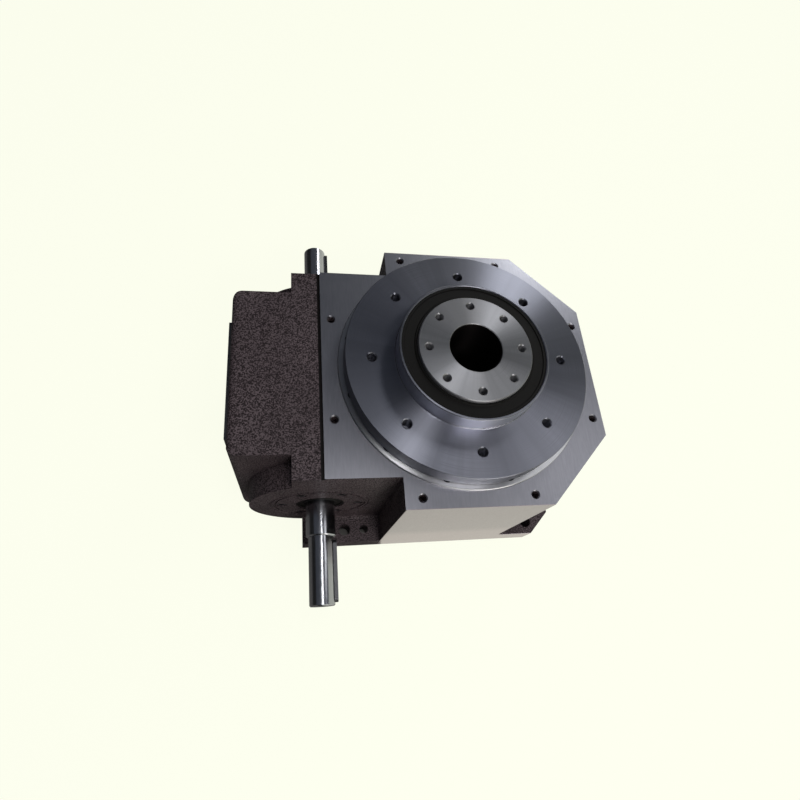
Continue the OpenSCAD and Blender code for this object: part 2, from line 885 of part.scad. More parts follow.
module cam() {
    arc_steps = 12;
    hub = [
        for (i = [0 : arc_steps])
            let (y = -cam_half + 2 * cam_half * i / arc_steps)
            [centre_distance - sqrt(pow(cam_root_r, 2) - y * y), y]
    ];
    color([0.5, 0.5, 0.53])
        translate([input_x, 0, shaft_z])
            difference() {
                union() {
                    rotate([-90, 0, 0])
                        rotate_extrude()
                            polygon(concat([[0, -cam_half]], hub, [[0, cam_half]]));
                    intersection() {
                        cam_rib();
                        translate([0, cam_half, 0])
                            rotate([90, 0, 0])
                                cylinder(r = cam_max_r + 12, h = 2 * cam_half);
                    }
                }
                translate([0, cam_half + 1, 0])
                    rotate([90, 0, 0])
                        cylinder(d = cam_seat_d + 2 * seat_fit, h = 2 * cam_half + 2);
                translate([0, -cam_half - 1, -cam_key_w / 2 - cam_key_play])
                    cube([cam_seat_d / 2 + cam_key_h - cam_key_seat + cam_key_play,
                        2 * cam_half + 2, cam_key_w + 2 * cam_key_play]);
            }
}

// ---------------------------------------------------------------- input bearings, caps and seals

// Radii of the two raceways at distance y along the input axis
function cone_race_r(y) =
    in_mid_r - (in_roller_mid_r + roll_gap) / cos(roller_slope) - (y - in_mid_y) * tan(cone_slope);
function cup_race_r(y) =
    in_mid_r + (in_roller_mid_r + roll_gap) / cos(roller_slope) - (y - in_mid_y) * tan(cup_slope);

module bearing_outer_ring(side) {
    color([0.62, 0.63, 0.65])
        on_shaft(side)
            rotate_extrude()
                polygon([
                    [cup_race_r(cup_in_y), cup_in_y],
                    [in_bearing_d / 2 - 0.5, cup_in_y],
                    [in_bearing_d / 2, cup_in_y + 0.5],
                    [in_bearing_d / 2, cup_out_y - 0.5],
                    [in_bearing_d / 2 - 0.5, cup_out_y],
                    [cup_race_r(cup_out_y), cup_out_y]
                ]);
}

module bearing_inner_ring(side) {
    half = in_roller_len / 2 * cos(roller_slope) + in_roller_big_r * sin(roller_slope) + roll_gap;
    y0 = in_mid_y - half;
    y1 = in_mid_y + half;
    color([0.62, 0.63, 0.65])
        on_shaft(side)
            rotate_extrude()
                polygon([
                    [shaft_d / 2, cone_in_y],
                    [cone_race_r(y0) + 3, cone_in_y],
                    [cone_race_r(y0) + 3, y0 - 0.8],
                    [cone_race_r(y0), y0],
                    [cone_race_r(y1), y1],
                    [cone_race_r(y1) + 1, y1 + 0.2],
                    [cone_race_r(y1) + 1, cone_out_y],
                    [shaft_d / 2, cone_out_y]
                ]);
}

module bearing_rollers(side) {
    color([0.75, 0.76, 0.78])
        on_shaft(side)
            for (i = [0 : in_rollers - 1])
                rotate([0, 0, i * 360 / in_rollers])
                    translate([in_mid_r, 0, in_mid_y])
                        rotate([0, -roller_slope, 0])
                            translate([0, 0, -in_roller_len / 2])
                                cylinder(r1 = in_roller_big_r, r2 = in_roller_small_r,
                                    h = in_roller_len, $fn = 32);
}

module bearing_cap(side) {
    seal_y = cap_face_y - shaft_seal_w - 1;
    spigot_r = in_bearing_d / 2 - 0.5;
    groove_r = cap_d / 2 - 4;
    groove_w = 2;
    groove_h = 1.2;
    color([0.27, 0.25, 0.26])
        on_shaft(side)
            difference() {
                union() {
                    translate([0, 0, cup_out_y + shim_t])
                        cylinder(d = cap_d, h = cap_seat - shim_t - mouth);
                    translate([0, 0, cap_face_y - mouth])
                        cylinder(r1 = cap_d / 2, r2 = cap_d / 2 - mouth, h = mouth);
                    translate([0, 0, cup_out_y])
                        cylinder(r = spigot_r, h = 1);
                }
                translate([0, 0, cup_out_y - 1])
                    cylinder(r = shaft_d / 2 + 2.5, h = cap_seat + 2);
                translate([0, 0, seal_y])
                    cylinder(r = shaft_seal_d / 2, h = shaft_seal_w + 2);
                ring(groove_r - groove_w / 2, groove_r + groove_w / 2, cap_face_y - groove_h, cap_face_y + 1);
                translate([0, 0, cap_face_y - cap_screw_d - 0.8])
                    ring_of(6, cap_pcd / 2) {
                        cylinder(r = head_r(cap_screw_d) + screw_fit, h = cap_screw_d + 2, $fn = 32);
                        translate([0, 0, -cap_seat])
                            cylinder(r = cap_screw_d / 2 + screw_fit, h = cap_seat + 1, $fn = 24);
                    }
            }
}

module cap_shim(side) {
    color([0.7, 0.65, 0.45])
        on_shaft(side)
            difference() {
                ring(in_bearing_d / 2, cap_d / 2 - 0.5, cup_out_y, cup_out_y + shim_t);
                ring_of(6, cap_pcd / 2)
                    translate([0, 0, cup_out_y - 1])
                        cylinder(r = cap_screw_d / 2 + screw_fit, h = shim_t + 2, $fn = 24);
            }
}

module cap_screws(side) {
    color([0.15, 0.15, 0.16])
        on_shaft(side)
            ring_of(6, cap_pcd / 2)
                translate([0, 0, cap_face_y - cap_screw_d - 0.8])
                    socket_screw(cap_screw_d, cap_seat + 3);
}

// A lip seal: metal-cased body with a dished face and a lip on the shaft
module lip_seal(bore_r, out_r, w) {
    rotate_extrude()
        polygon([
            [bore_r + run_fit, w * 0.3],
            [bore_r + 1.2, 0],
            [out_r, 0],
            [out_r, w - 0.5],
            [out_r - 0.5, w],
            [out_r - 2.5, w],
            [out_r - 3, w - 1],
            [bore_r + 3, w - 1],
            [bore_r + 2, w],
            [bore_r + run_fit, w - 0.3]
        ]);
}

module shaft_seal(side) {
    color([0.08, 0.08, 0.08])
        on_shaft(side)
            translate([0, 0, cap_face_y - shaft_seal_w - 1])
                lip_seal(shaft_d / 2, shaft_seal_d / 2, shaft_seal_w);
}

// ---------------------------------------------------------------- output table and turret

module output_table() {
    pocket_r = post_seal_d / 2;
    land_r = seal_land_d / 2;
    color([0.6, 0.61, 0.64])
        difference() {
            rotate_extrude($fn = 180)
                difference() {
                    polygon([
                        [turret_bore_r + 0.5, main_bottom_z],
                        [main_bearing_bore / 2, main_bottom_z],
                        [main_bearing_bore / 2, main_top_z],
                        [land_r, main_top_z],
                        [land_r, table_bottom_z],
                        [table_d / 2 - 0.5, table_bottom_z],
                        [table_d / 2, table_bottom_z + 0.5],
                        [table_d / 2, table_z - 0.5],
                        [table_d / 2 - 0.5, table_z],
                        [collar_d / 2 + collar_fillet, table_z],
                        [collar_d / 2, table_z + collar_fillet],
                        [collar_d / 2, collar_z - 0.6],
                        [collar_d / 2 - 0.6, collar_z],
                        [pocket_r + 0.5, collar_z],
                        [pocket_r, collar_z - 0.5],
                        [pocket_r, ledge_z],
                        [turret_bore_r + 0.5, ledge_z]
                    ]);
                    translate([collar_d / 2 + collar_fillet, table_z + collar_fillet])
                        circle(r = collar_fillet, $fn = 32);
                }
            translate([0, 0, table_z])
                ring_of(8, table_pcd / 2)
                    tapped_hole(m10_core, table_hole_depth);
            ring_of(8, turret_screw_pcd / 2)
                translate([0, 0, main_bottom_z - 1])
                    cylinder(r = turret_screw_d / 2 + screw_fit, h = ledge_z, $fn = 24);
        }
}

module turret() {
    ring_low_z = low_top_z + 2 + turret_taper;
    ring_high_z = main_bottom_z - turret_flange_t - turret_taper;
    color([0.5, 0.5, 0.52])
        difference() {
            rotate_extrude()
                polygon([
                    [turret_bore_r, low_top_z],
                    [low_bearing_d / 2, low_top_z],
                    [low_bearing_d / 2, low_bottom_z - 1],
                    [turret_flange_r, low_bottom_z - 1],
                    [turret_flange_r, low_top_z + 2],
                    [turret_r, ring_low_z],
                    [turret_r, ring_high_z],
                    [turret_flange_r, ring_high_z + turret_taper],
                    [turret_flange_r, main_bottom_z],
                    [turret_bore_r, main_bottom_z]
                ]);
            ring_of(8, turret_screw_pcd / 2)
                translate([0, 0, main_bottom_z - 14])
                    cylinder(d = turret_screw_d + 2 * thread_fit, h = 15, $fn = 24);
            translate([0, 0, shaft_z])
                ring_of(stations, 0, pitch_deg / 2)
                    rotate([0, 90, 0])
                        translate([0, 0, pin_root_r])
                            cylinder(r = pin_d / 2 + seat_fit, h = turret_r, $fn = 48);
            ring_of(stations, grub_pitch_r, pitch_deg / 2)
                translate([0, 0, low_top_z - 1])
                    cylinder(d = grub_d + 2 * thread_fit, h = shaft_z - pin_d / 2 - low_top_z + 2, $fn = 24);
        }
}

module turret_screws() {
    color([0.15, 0.15, 0.16])
        ring_of(8, turret_screw_pcd / 2)
            translate([0, 0, ledge_z])
                socket_screw(turret_screw_d, ledge_z - main_bottom_z + 12);
}

module follower_pins() {
    color([0.68, 0.69, 0.71])
        translate([0, 0, shaft_z])
            ring_of(stations, 0, pitch_deg / 2)
                rotate([0, 90, 0]) {
                    translate([0, 0, pin_root_r + 0.2])
                        cylinder(d = pin_d, h = pin_tip_r - pin_root_r - 0.2, $fn = 48);
                    translate([0, 0, turret_r])
                        cylinder(r = pin_collar_r, h = roller_in_r - roller_end_play - turret_r, $fn = 48);
                    translate([0, 0, pin_tip_r - head_t])
                        cylinder(r = pin_head_r, h = head_t, $fn = 48);
                }
}

module follower_grub_screws() {
    grub_top_z = shaft_z - pin_d / 2 - 0.05;
    color([0.15, 0.15, 0.16])
        ring_of(stations, grub_pitch_r, pitch_deg / 2)
            translate([0, 0, grub_top_z - grub_len])
                difference() {
                    cylinder(d = grub_d, h = grub_len, $fn = 24);
                    translate([0, 0, -1])
                        cylinder(d = grub_d / 2, h = 5, $fn = 6);
                }
}

// Roller i runs on the pin i - 1/2 pitches round from the right
module follower_roller(i) {
    edge = 0.8;
    color([0.75, 0.76, 0.78])
        translate([0, 0, shaft_z])
            rotate([0, 0, (i - 0.5) * pitch_deg])
                rotate([0, 90, 0])
                    rotate_extrude($fn = 64)
                        polygon([
                            [pin_d / 2 + run_fit, roller_in_r],
                            [roller_d / 2 - edge, roller_in_r],
                            [roller_d / 2, roller_in_r + edge],
                            [roller_d / 2, roller_out_r - edge],
                            [roller_d / 2 - edge, roller_out_r],
                            [pin_d / 2 + run_fit, roller_out_r]
                        ]);
}

// ---------------------------------------------------------------- output bearings

module main_bearing_outer_ring() {
    color([0.62, 0.63, 0.65])
        rotate_extrude()
            polygon([
                [main_pitch_r + race_slot, main_bottom_z],
                [main_bearing_d / 2 - 1, main_bottom_z],
                [main_bearing_d / 2, main_bottom_z + 1],
                [main_bearing_d / 2, main_top_z - 1],
                [main_bearing_d / 2 - 1, main_top_z],
                [main_pitch_r + race_slot, main_top_z],
                [main_pitch_r + race_slot, main_mid_z + race_half - race_slot],
                [main_pitch_r + race_half, main_mid_z],
                [main_pitch_r + race_slot, main_mid_z - race_half + race_slot]
            ]);
}

module main_bearing_inner_ring() {
    color([0.62, 0.63, 0.65])
        rotate_extrude()
            polygon([
                [main_bearing_bore / 2, main_bottom_z],
                [main_pitch_r - race_slot, main_bottom_z],
                [main_pitch_r - race_slot, main_mid_z - race_half + race_slot],
                [main_pitch_r - race_half, main_mid_z],
                [main_pitch_r - race_slot, main_mid_z + race_half - race_slot],
                [main_pitch_r - race_slot, main_top_z],
                [main_bearing_bore / 2, main_top_z]
            ]);
}

// Rollers cross at right angles, each at 45 degrees to the axis
module main_bearing_rollers() {
    color([0.75, 0.76, 0.78])
        for (i = [0 : main_rollers - 1])
            rotate([0, 0, i * 360 / main_rollers])
                translate([main_pitch_r, 0, main_mid_z])
                    rotate([0, i % 2 == 0 ? 45 : -45, 0])
                        translate([0, 0, -main_roller_d / 2 + 0.1])
                            cylinder(d = main_roller_d, h = main_roller_d - 0.2, $fn = 32);
}

module bearing_retainer() {
    color([0.55, 0.55, 0.57])
        difference() {
            union() {
                ring(seal_land_d / 2 + 2, main_bearing_d / 2 - seat_fit, main_top_z, top_z + 1);
                translate([0, 0, top_z])
                    cylinder(d = retainer_d, h = retainer_rise - 0.5, $fn = 180);
                translate([0, 0, top_z + retainer_rise - 0.5])
                    cylinder(d1 = retainer_d, d2 = retainer_d - 1, h = 0.5, $fn = 180);
            }
            translate([0, 0, main_top_z - 1])
                cylinder(r = seal_land_d / 2 + 2, h = retainer_spigot + retainer_rise + 2);
            translate([0, 0, low_seal_z])
                cylinder(d = low_seal_d, h = low_seal_w + 2);
            ring(0, main_pitch_r, main_top_z - 1, main_top_z + 0.8);
            translate([0, 0, top_z + retainer_rise])
                ring_of(retainer_screws, retainer_screw_r, 15)
                    flat_screw_seat(cover_screw_d, retainer_rise + 1);
        }
}

module retainer_screws_set() {
    color([0.2, 0.2, 0.21])
        translate([0, 0, top_z + retainer_rise - head_seat])
            ring_of(retainer_screws, retainer_screw_r, 15)
                flat_screw(cover_screw_d, flat_screw_len);
}

module table_lower_seal() {
    color([0.08, 0.08, 0.08])
        translate([0, 0, low_seal_z])
            lip_seal(seal_land_d / 2, low_seal_d / 2, low_seal_w);
}

// A ring of the lower bearing between two radii, with the balls' groove
module groove_ring(r_in, r_out) {
    rotate_extrude()
        difference() {
            translate([r_in, low_bottom_z])
                square([r_out - r_in, low_bearing_w]);
            translate([low_pitch_r, low_mid_z])
                circle(r = ball_d / 2 + roll_gap, $fn = 48);
        }
}

module lower_bearing_outer_ring() {
    color([0.62, 0.63, 0.65])
        groove_ring(low_pitch_r + ball_d / 4, low_bearing_d / 2);
}

module lower_bearing_inner_ring() {
    color([0.62, 0.63, 0.65])
        groove_ring(post_d / 2, low_pitch_r - ball_d / 4);
}

module lower_bearing_balls() {
    color([0.75, 0.76, 0.78])
        translate([0, 0, low_mid_z])
            ring_of(balls, low_pitch_r)
                sphere(d = ball_d, $fn = 48);
}

module lower_bearing_cage() {
    cage_half = 1.2;
    color([0.75, 0.6, 0.3])
        difference() {
            ring(low_pitch_r - cage_half, low_pitch_r + cage_half, low_mid_z - ball_d / 2 - 1,
                low_mid_z + ball_d / 2 + 1);
            translate([0, 0, low_mid_z])
                ring_of(balls, low_pitch_r)
                    rotate([0, 90, 0])
                        translate([0, 0, -cage_half - 2])
                            cylinder(r = ball_d / 2 + roll_gap, h = 2 * cage_half + 4, $fn = 32);
        }
}

// ---------------------------------------------------------------- centre post

module centre_post() {
    color([0.6, 0.61, 0.64])
        difference() {
            rotate_extrude($fn = 180)
                polygon([
                    [post_bore_d / 2, 0],
                    [post_flange_d / 2 - 1, 0],
                    [post_flange_d / 2, 1],
                    [post_flange_d / 2, post_flange_t],
                    [post_shoulder_r, post_flange_t],
                    [post_shoulder_r, low_bottom_z],
                    [post_d / 2, low_bottom_z],
                    [post_d / 2, post_z - 0.8],
                    [post_d / 2 - 0.8, post_z],
                    [post_bore_d / 2 + 1, post_z],
                    [post_bore_d / 2, post_z - 1]
                ]);
            translate([0, 0, post_z])
                ring_of(8, post_pcd / 2)
                    tapped_hole(m8_core, post_hole_depth);
            ring_of(8, flange_pcd / 2, 22.5) {
                translate([0, 0, -1])
                    cylinder(r = head_r(cap_screw_d) + screw_fit, h = cap_screw_d + 1.5, $fn = 32);
                cylinder(r = cap_screw_d / 2 + screw_fit, h = post_flange_t + 1, $fn = 24);
            }
            rotate_extrude()
                translate([o_ring_pitch_r - o_ring_r, post_flange_t - 2 * o_ring_r])
                    square([2 * o_ring_r, 2 * o_ring_r + 1]);
        }
}

module post_screws() {
    head_z = cap_screw_d + 0.5;
    color([0.15, 0.15, 0.16])
        ring_of(8, flange_pcd / 2, 22.5)
            translate([0, 0, head_z])
                rotate([180, 0, 0])
                    socket_screw(cap_screw_d, post_flange_t - head_z + flange_grip);
}

module post_o_ring() {
    color([0.08, 0.08, 0.08])
        rotate_extrude()
            translate([o_ring_pitch_r, post_flange_t - o_ring_r])
                circle(r = o_ring_r - 0.02, $fn = 32);
}

module post_seal() {
    color([0.08, 0.08, 0.08])
        translate([0, 0, collar_z - post_seal_drop - post_seal_w])
            lip_seal(post_d / 2, post_seal_d / 2, post_seal_w);
}

// ---------------------------------------------------------------- oil fittings

// A hexagon plug, its flange against the wall at z = 0
module hex_plug() {
    translate([0, 0, -port_depth + 3])
        cylinder(d = port_d, h = port_depth - 3 + eps, $fn = 48);
    cylinder(r = port_d / 2 + 3, h = 3, $fn = 48);
    translate([0, 0, 3 - eps])
        cylinder(r = port_d / 2 + 1.5, h = 6, $fn = 6);
}

module oil_filler_plug() {
    color([0.62, 0.5, 0.25])
        at_port(-port_y, filler_z)
            hex_plug();
}

module oil_drain_plug() {
    color([0.35, 0.35, 0.36])
        at_port(port_y, drain_z)
            hex_plug();
}

module sight_glass_ring() {
    color([0.7, 0.71, 0.73])
        at_port(0, level_z)
            difference() {
                union() {
                    translate([0, 0, -port_depth + 3])
                        cylinder(d = port_d, h = port_depth - 3 + eps, $fn = 48);
                    cylinder(r = port_d / 2 + 4, h = 5, $fn = 64);
                }
                translate([0, 0, -port_depth])
                    cylinder(r = port_d / 2 - 3, h = port_depth + 6, $fn = 48);
                translate([0, 0, 1])
                    cylinder(r = port_d / 2 + 1, h = 5, $fn = 48);
            }
}

module sight_glass_lens() {
    color([0.8, 0.85, 0.8])
        at_port(0, level_z)
            translate([0, 0, 1])
                cylinder(r = port_d / 2 + 1 - seat_fit, h = 3, $fn = 48);
}

// ---------------------------------------------------------------- nodes

housing();
side_cover();
side_cover_gasket();
side_cover_screws();
input_shaft();
end_key(-1);  // front_shaft_key
end_key(1);  // rear_shaft_key
cam();
cam_key();
cam_locknut();
bearing_outer_ring(-1);  // front_bearing_outer_ring
bearing_inner_ring(-1);  // front_bearing_inner_ring
bearing_rollers(-1);  // front_bearing_rollers
bearing_outer_ring(1);  // rear_bearing_outer_ring
bearing_inner_ring(1);  // rear_bearing_inner_ring
bearing_rollers(1);  // rear_bearing_rollers
bearing_cap(-1);  // front_bearing_cap
bearing_cap(1);  // rear_bearing_cap
cap_shim(-1);  // front_cap_shim
cap_shim(1);  // rear_cap_shim
cap_screws(-1);  // front_cap_screws
cap_screws(1);  // rear_cap_screws
shaft_seal(-1);  // front_shaft_seal
shaft_seal(1);  // rear_shaft_seal
output_table();
turret();
turret_screws();
follower_pins();
follower_grub_screws();
follower_roller(1);  // follower_roller_1
follower_roller(2);  // follower_roller_2
follower_roller(3);  // follower_roller_3
follower_roller(4);  // follower_roller_4
follower_roller(5);  // follower_roller_5
follower_roller(6);  // follower_roller_6
follower_roller(7);  // follower_roller_7
follower_roller(8);  // follower_roller_8
main_bearing_outer_ring();
main_bearing_inner_ring();
main_bearing_rollers();
bearing_retainer();
retainer_screws_set();
table_lower_seal();
lower_bearing_outer_ring();
lower_bearing_inner_ring();
lower_bearing_balls();
lower_bearing_cage();
centre_post();
post_screws();
post_o_ring();
post_seal();
oil_filler_plug();
oil_drain_plug();
sight_glass_ring();
sight_glass_lens();
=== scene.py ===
"""Looks for the cam indexer: camera, light, floor and the finish of each CAD node."""
import math

import bpy
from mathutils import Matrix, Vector

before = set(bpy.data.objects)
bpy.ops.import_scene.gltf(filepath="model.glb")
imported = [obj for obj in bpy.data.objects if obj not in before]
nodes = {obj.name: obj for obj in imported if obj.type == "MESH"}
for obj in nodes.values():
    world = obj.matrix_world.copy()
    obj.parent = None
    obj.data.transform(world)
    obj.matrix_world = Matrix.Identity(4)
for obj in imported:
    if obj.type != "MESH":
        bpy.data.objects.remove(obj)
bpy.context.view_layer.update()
scene = bpy.context.scene

# ---------------------------------------------------------------- named values
MM = 0.001

# Where the part's faces lie. A face's mask starts just off it, so that its edge stays clean.
TOP_FACE_Z = 180.5 * MM
PAINTED_Z = 179.5 * MM
UNDERSIDE_Z = 0.3 * MM
END_FACE_Y = 139.5 * MM
FRONT_FACE_X = -69.5 * MM
MAIN_BORE_R = 122 * MM
POST_BORE_R = 25.4 * MM
COLLAR_R = 78 * MM
STEP_X = (-143 * MM, -139 * MM)
# Heights over which the front faces' painted sheen grows lighter toward the bottom
LOW_SHEEN_Z = (55 * MM, 80 * MM)
FLAT = 0.5  # the part of a normal that tells level from upright

# The floor under the foot, 2 mm in from the foot's outline, gets no glow: a painted shadow in the
# foot's shape
FOOT_MID_X = -8.5 * MM
FOOT_HALF_X = 146.5 * MM
FOOT_HALF_Y = 138 * MM
FOOT_CORNER = 251 * MM

# The studio: a round floor, its turned-up edge and a wall
FLOOR_Z = -0.5 * MM
FLOOR_R = 4.0
WALL_R = 1.0
WALL_TOP = 3.4
ROUND_STEPS = 96
CURVE_STEPS = 6
# Painted shade in reflections: the floor left of here gives mirrored rays no glow
PAINTED_SHADE_LEFT_X = -65 * MM
BACKGROUND = (0.983, 1.0, 0.863)
GLOW = 1.2
GLOW_SHARE = 0.8
FLOOR_GREY = (0.30, 0.29, 0.27)
SKY = (0.62, 0.68, 0.80)
SKY_STRENGTH = 0.16

# Colours
PAINT_DARK = (0.016, 0.011, 0.012)
PAINT_LIGHT = (0.125, 0.097, 0.104)
# Painted shade along the machined step, near black
PAINTED_STEP_SHADE = (0.006, 0.0045, 0.0045)
IRON = (0.27, 0.27, 0.295)
IRON_DARK = (0.19, 0.19, 0.215)
# Painted reflection: the front faces take a lighter, warmer copy of the iron, lighter and pinker
# still toward the bottom
IRON_FRONT_SHEEN = (0.295, 0.256, 0.275)
IRON_LOW_SHEEN = (0.386, 0.327, 0.346)
DISC = (0.225, 0.23, 0.268)
POST = (0.30, 0.30, 0.315)
RING = (0.55, 0.55, 0.57)
# Painted shade inside the centre bore
BORE_SHADE = (0.012, 0.010, 0.010)
STEEL = (0.38, 0.385, 0.41)
PAINT_SHINE = 0.12

# Lamps: place, target, size, power and colour
LAMPS = {
    "key": ((0.26, -0.85, 1.25), (0, 0, 0.18), (0.6, 0.3), 8, (1.0, 0.98, 0.96)),
    "over": ((0.85, 0.22, 1.45), (0.10, -0.05, 0.18), (0.5, 0.5), 1.8, (1, 1, 1)),
    "front": ((0.70, -1.4, 0.35), (0, 0, 0.10), (0.7, 0.5), 4.0, (1.0, 0.95, 0.91)),
    "near": ((-0.09, -0.10, 1.5), (-0.10, -0.12, 0.18), (0.08, 0.45), 3.0, (1, 1, 1)),
    "rear": ((0.95, 1.38, 1.4), (0.05, 0.05, 0.18), (0.4, 0.4), 7, (0.96, 0.98, 1.0)),
}

CAMERA_PLACE = (-0.1670, -0.2369, 0.6315)
CAMERA_TURN = (22.93, -9.77, -4.33)
CAMERA_SHIFT = (0.00945, 0.02025)
LENS = 23.70
SENSOR = 36.0


# ---------------------------------------------------------------- node helpers
class Graph:
    """A small builder for one material's nodes."""

    def __init__(self, name):
        self.material = bpy.data.materials.new(name)
        self.material.use_nodes = True
        self.tree = self.material.node_tree
        self.shader = self.tree.nodes["Principled BSDF"]

    def add(self, kind, **settings):
        node = self.tree.nodes.new(kind)
        for key, value in settings.items():
            setattr(node, key, value)
        return node

    def link(self, output, target):
        self.tree.links.new(output, target)

    def set(self, **values):
        """Constants on the shader's own sockets, with _ for a space in a socket's name."""
        for key, value in values.items():
            socket = self.shader.inputs[key.replace("_", " ")]
            socket.default_value = (*value, 1.0) if isinstance(value, tuple) else value

    def feed(self, node, index, value):
        """A constant or another node's output, into one socket."""
        if isinstance(value, (int, float)):
            node.inputs[index].default_value = value
        else:
            self.link(value, node.inputs[index])

    def math(self, operation, a, b=0.0):
        node = self.add("ShaderNodeMath", operation=operation)
        self.feed(node, 0, a)
        self.feed(node, 1, b)
        return node.outputs[0]

    def place(self):
        """The point's coordinates and its face's normal, each split in three."""
        geometry = self.add("ShaderNodeNewGeometry")
        split = self.add("ShaderNodeSeparateXYZ")
        facing = self.add("ShaderNodeSeparateXYZ")
        self.link(geometry.outputs["Position"], split.inputs[0])
        self.link(geometry.outputs["True Normal"], facing.inputs[0])
        return split, facing

    def within(self, value, low, high):
        """One between low and high, and nothing elsewhere."""
        above = self.math("GREATER_THAN", value, low)
        return self.math("MULTIPLY", above, self.math("LESS_THAN", value, high))

    def coordinates(self):
        return self.add("ShaderNodeTexCoord").outputs["Object"]

    def noise(self, scale, detail=2.0, roughness=0.5, stretch=None, vector=None):
        vector = vector or self.coordinates()
        if stretch:
            mapping = self.add("ShaderNodeMapping")
            self.link(vector, mapping.inputs["Vector"])
            mapping.inputs["Scale"].default_value = stretch
            vector = mapping.outputs["Vector"]
        node = self.add("ShaderNodeTexNoise")
        self.link(vector, node.inputs["Vector"])
        node.inputs["Scale"].default_value = scale
        node.inputs["Detail"].default_value = detail
        node.inputs["Roughness"].default_value = roughness
        return node.outputs["Fac"]

    def ramp(self, value, low, high, start=0.0, end=1.0):
        """The range start to end, stretched to low to high and held at both ends."""
        node = self.add("ShaderNodeMapRange", clamp=True)
        self.feed(node, 0, value)
        for index, number in enumerate((start, end, low, high), 1):
            node.inputs[index].default_value = number
        return node.outputs[0]

    def mix(self, factor, a, b):
        """Two colours, by the mix node's colour sockets 6 and 7."""
        node = self.add("ShaderNodeMix", data_type="RGBA")
        self.feed(node, 0, factor)
        for index, value in ((6, a), (7, b)):
            if isinstance(value, tuple):
                node.inputs[index].default_value = (*value, 1.0)
            else:
                self.link(value, node.inputs[index])
        return node.outputs[2]

    def blend(self, factor, a, b):
        """Two plain values, by the mix node's value sockets 2 and 3."""
        node = self.add("ShaderNodeMix", data_type="FLOAT")
        self.feed(node, 0, factor)
        self.feed(node, 2, a)
        self.feed(node, 3, b)
        return node.outputs[0]

    def bump(self, height, strength, distance):
        node = self.add("ShaderNodeBump")
        self.link(height, node.inputs["Height"])
        node.inputs["Strength"].default_value = strength
        node.inputs["Distance"].default_value = distance
        self.link(node.outputs["Normal"], self.shader.inputs["Normal"])

    def to(self, socket, value):
        self.link(value, self.shader.inputs[socket])


def shade(colour, share):
    return tuple(part * share for part in colour)


def dress(names, material):
    for name in names:
        mesh = nodes[name].data
        mesh.materials.clear()
        mesh.materials.append(material)


# ---------------------------------------------------------------- materials
def radius_from_axis(graph, split):
    x, y = split.outputs["X"], split.outputs["Y"]
    square = graph.math("ADD", graph.math("MULTIPLY", x, x), graph.math("MULTIPLY", y, y))
    return graph.math("SQRT", square)


def turned(name, colour, roughness, collar=1.0):
    """Metal turned about the output axis: fine rings that spread its reflections across them.
    The centre bore is painted near black as shade, and a collar's upright side takes one plain
    colour, lightened on the table as a painted highlight."""
    g = Graph(name)
    split, facing = g.place()
    radius = radius_from_axis(g, split)
    line = g.add("ShaderNodeCombineXYZ")
    g.link(radius, line.inputs[0])
    rings = g.noise(900.0, 2.0, 0.5, vector=line.outputs[0])
    cloud = g.ramp(g.noise(11.0, 2.0, 0.5), 0.0, 1.0, 0.3, 0.7)
    level = g.add("ShaderNodeCombineXYZ")
    g.link(split.outputs["X"], level.inputs[0])
    g.link(split.outputs["Y"], level.inputs[1])
    outward = g.add("ShaderNodeVectorMath", operation="NORMALIZE")
    g.link(level.outputs[0], outward.inputs[0])
    rays = g.ramp(g.noise(3.5, 4.0, 0.65, vector=outward.outputs[0]), 0.0, 1.0, 0.35, 0.65)
    worn = g.mix(g.math("MULTIPLY", cloud, rays), shade(colour, 0.68), colour)
    bright = g.mix(g.ramp(rings, 0.0, 1.0, 0.3, 0.55), shade(colour, 0.74), worn)
    # Painted highlight: a collar's upright side takes one plain colour, scaled by the collar factor
    upright = g.math("LESS_THAN", g.math("ABSOLUTE", facing.outputs["Z"]), FLAT)
    on_collar = g.math("MULTIPLY", g.math("LESS_THAN", radius, COLLAR_R), upright)
    bright = g.mix(on_collar, bright, shade(colour, collar))
    # Painted shade: the centre bore is near black
    in_bore = g.math("LESS_THAN", radius, POST_BORE_R)
    g.to("Base Color", g.mix(in_bore, bright, BORE_SHADE))
    g.to("Roughness", g.ramp(rings, roughness - 0.03, roughness + 0.05, 0.3, 0.7))
    g.set(Metallic=1.0, Anisotropic=0.85, Anisotropic_Rotation=0.25)
    tangent = g.add("ShaderNodeTangent", direction_type="RADIAL", axis="Z")
    g.link(tangent.outputs[0], g.shader.inputs["Tangent"])
    return g.material


def polished(name, colour, roughness):
    g = Graph(name)
    marks = g.noise(500.0, 3.0, 0.6, stretch=(1.0, 0.2, 1.0))
    g.to("Base Color", g.mix(marks, shade(colour, 0.75), colour))
    g.to("Roughness", g.ramp(marks, roughness - 0.04, roughness + 0.06, 0.3, 0.7))
    g.set(Metallic=1.0)
    g.bump(marks, 0.04, 0.0001)
    return g.material


def plain(name, colour, roughness, grain=600.0, strength=0.15, metallic=0.0, shine=0.5):
    g = Graph(name)
    speck = g.noise(grain, 3.0, 0.6)
    g.to("Base Color", g.mix(speck, shade(colour, 0.7), colour))
    g.to("Roughness", g.ramp(speck, roughness - 0.06, roughness + 0.06, 0.3, 0.7))
    g.set(Metallic=metallic, Specular_IOR_Level=shine)
    g.bump(speck, strength, 0.0002)
    return g.material


def hammertone(g):
    """Colour, roughness and height of the speckled paint."""
    blobs = g.noise(780.0, 2.0, 0.55)
    veins = g.ramp(blobs, 0.0, 1.0, 0.43, 0.58)
    patch = g.ramp(g.noise(20.0, 2.0), 0.75, 1.0, 0.35, 0.65)
    colour = g.mix(g.math("MULTIPLY", veins, patch), PAINT_DARK, PAINT_LIGHT)
    return colour, g.blend(veins, 0.58, 0.46), blobs


